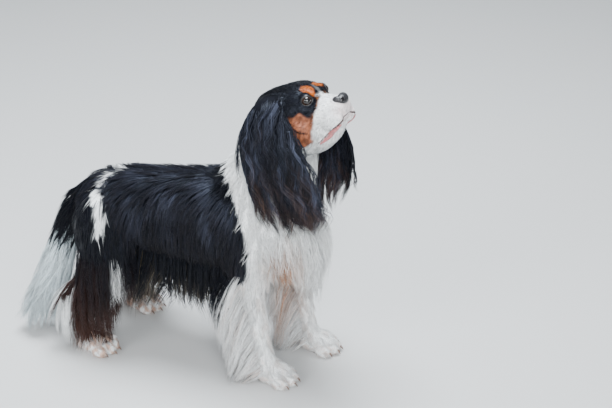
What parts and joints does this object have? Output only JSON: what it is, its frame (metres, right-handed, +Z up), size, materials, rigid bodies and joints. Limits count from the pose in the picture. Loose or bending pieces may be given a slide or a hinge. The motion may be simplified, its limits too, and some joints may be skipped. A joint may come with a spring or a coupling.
{
  "type": "cavalier king charles spaniel",
  "caption": "Life-size still model of a small long-coated spaniel standing on four feet, head raised, with long feathered ears, legs and tail.",
  "frame": {"origin": "middle of the model's outline on the floor that the paws stand on", "axes": "+X forward along the body, +Y to the dog's left, +Z up"},
  "size_m": [0.5436, 0.1978, 0.4675],
  "materials": {
    "head_coat": "short black coat with a white muzzle and tan marks",
    "nose_leather": "moist black leather",
    "eyeball": "wet dark brown eye",
    "ear_coat": "long wavy black hair with brown tips",
    "white_coat": "long silky white coat",
    "saddle_coat": "silky black coat with a white chest",
    "leg_coat": "white coat with long feathers",
    "thigh_coat": "black-brown coat with a white foot",
    "tail_coat": "long white plume, black at the root"
  },
  "bodies": {
    "root": {"head": "head_coat", "nose": "nose_leather", "eye_right": "eyeball", "eye_left": "eyeball", "ear_right": "ear_coat", "ear_left": "ear_coat", "neck": "white_coat", "torso": "saddle_coat", "foreleg_right": "leg_coat", "foreleg_left": "leg_coat", "hindleg_right": "thigh_coat", "hindleg_left": "thigh_coat", "tail": "tail_coat"}
  },
  "joints": []
}
